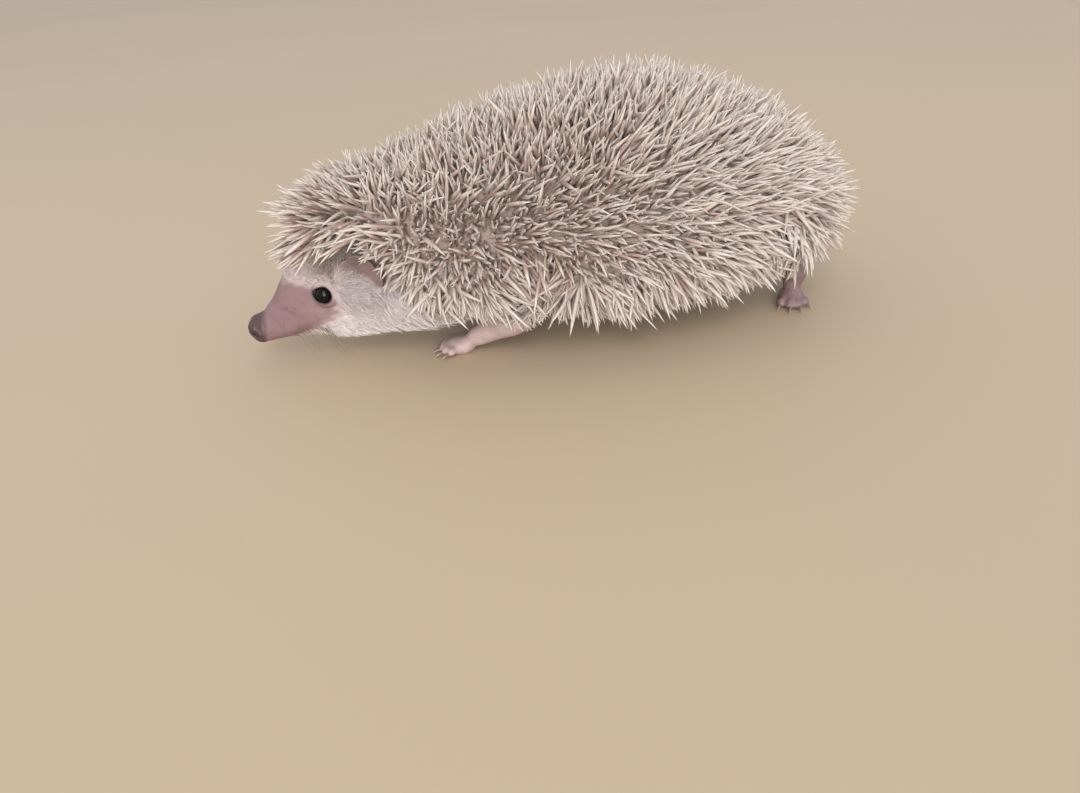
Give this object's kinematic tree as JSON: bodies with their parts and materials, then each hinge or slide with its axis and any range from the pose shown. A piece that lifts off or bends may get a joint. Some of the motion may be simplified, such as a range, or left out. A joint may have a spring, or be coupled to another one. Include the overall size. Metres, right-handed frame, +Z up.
{
  "type": "hedgehog",
  "caption": "Life-size still model of a walking four-toed hedgehog, with a mantle of quills, bare muzzle and small pink paws.",
  "frame": {"origin": "on the floor under the middle of the animal's outline", "axes": "the animal faces -Y, +X is its left side and +Z is up"},
  "size_m": [0.091, 0.201, 0.0786],
  "materials": {
    "quills": "satin cream quills with a grey-brown band",
    "fur": "soft white fur over pale pink skin",
    "skin": "bare pinkish-mauve skin",
    "nose": "moist dark mauve-brown skin",
    "eye": "wet black eye",
    "claw": "brownish horn"
  },
  "bodies": {
    "root": {"mantle_crown": "quills", "mantle_back": "quills", "mantle_rump": "quills", "trunk": "fur", "neck": "fur", "head": "fur", "lower_jaw": "fur", "nose": "nose", "ear_left": "skin", "ear_right": "skin", "eye_left": "eye", "eye_right": "eye", "tail": "skin", "foreleg_left": "skin", "foreleg_right": "skin", "hindleg_left": "skin", "hindleg_right": "skin", "forepaw_left": "skin", "forepaw_left_claw_1": "claw", "forepaw_left_claw_2": "claw", "forepaw_left_claw_3": "claw", "forepaw_left_claw_4": "claw", "forepaw_left_claw_5": "claw", "forepaw_right": "skin", "forepaw_right_claw_1": "claw", "forepaw_right_claw_2": "claw", "forepaw_right_claw_3": "claw", "forepaw_right_claw_4": "claw", "forepaw_right_claw_5": "claw", "hindpaw_left": "skin", "hindpaw_left_claw_1": "claw", "hindpaw_left_claw_2": "claw", "hindpaw_left_claw_3": "claw", "hindpaw_left_claw_4": "claw", "hindpaw_right": "skin", "hindpaw_right_claw_1": "claw", "hindpaw_right_claw_2": "claw", "hindpaw_right_claw_3": "claw", "hindpaw_right_claw_4": "claw"}
  },
  "joints": []
}
